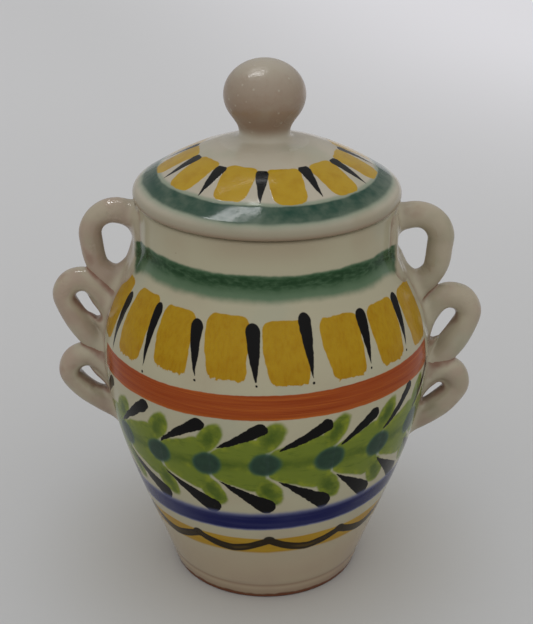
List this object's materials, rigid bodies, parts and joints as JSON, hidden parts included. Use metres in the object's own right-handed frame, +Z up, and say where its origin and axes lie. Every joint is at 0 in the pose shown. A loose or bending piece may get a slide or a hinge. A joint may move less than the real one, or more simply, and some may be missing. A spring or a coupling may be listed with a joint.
{
  "type": "spice container",
  "caption": "Lidded earthenware spice jar with a bellied body on a narrow foot, coiled clay handles on both sides and a domed lid with a ball knob that lifts off.",
  "frame": {"origin": "centre of the foot, on the surface that the jar stands on", "axes": "+Z up along the jar's turning axis, X through the two handles, the painted front faces -Y"},
  "size_m": [0.1154, 0.088, 0.1441],
  "materials": {
    "body_glaze": "glossy cream glaze with hand-painted bands",
    "handle_glaze": "glossy cream glaze",
    "knob_glaze": "glossy cream glaze"
  },
  "bodies": {
    "jar": {"jar_body": "body_glaze", "left_upper_curl": "handle_glaze", "left_middle_curl": "handle_glaze", "left_lower_curl": "handle_glaze", "right_upper_curl": "handle_glaze", "right_middle_curl": "handle_glaze", "right_lower_curl": "handle_glaze"},
    "lid": {"lid_dome": "body_glaze", "lid_flange": "body_glaze", "lid_knob": "knob_glaze"}
  },
  "joints": [
    {"name": "lid_lift", "type": "slide", "parent": "jar", "child": "lid", "axis": [0, 0, 1], "range_m": [0, 0.07]}
  ]
}
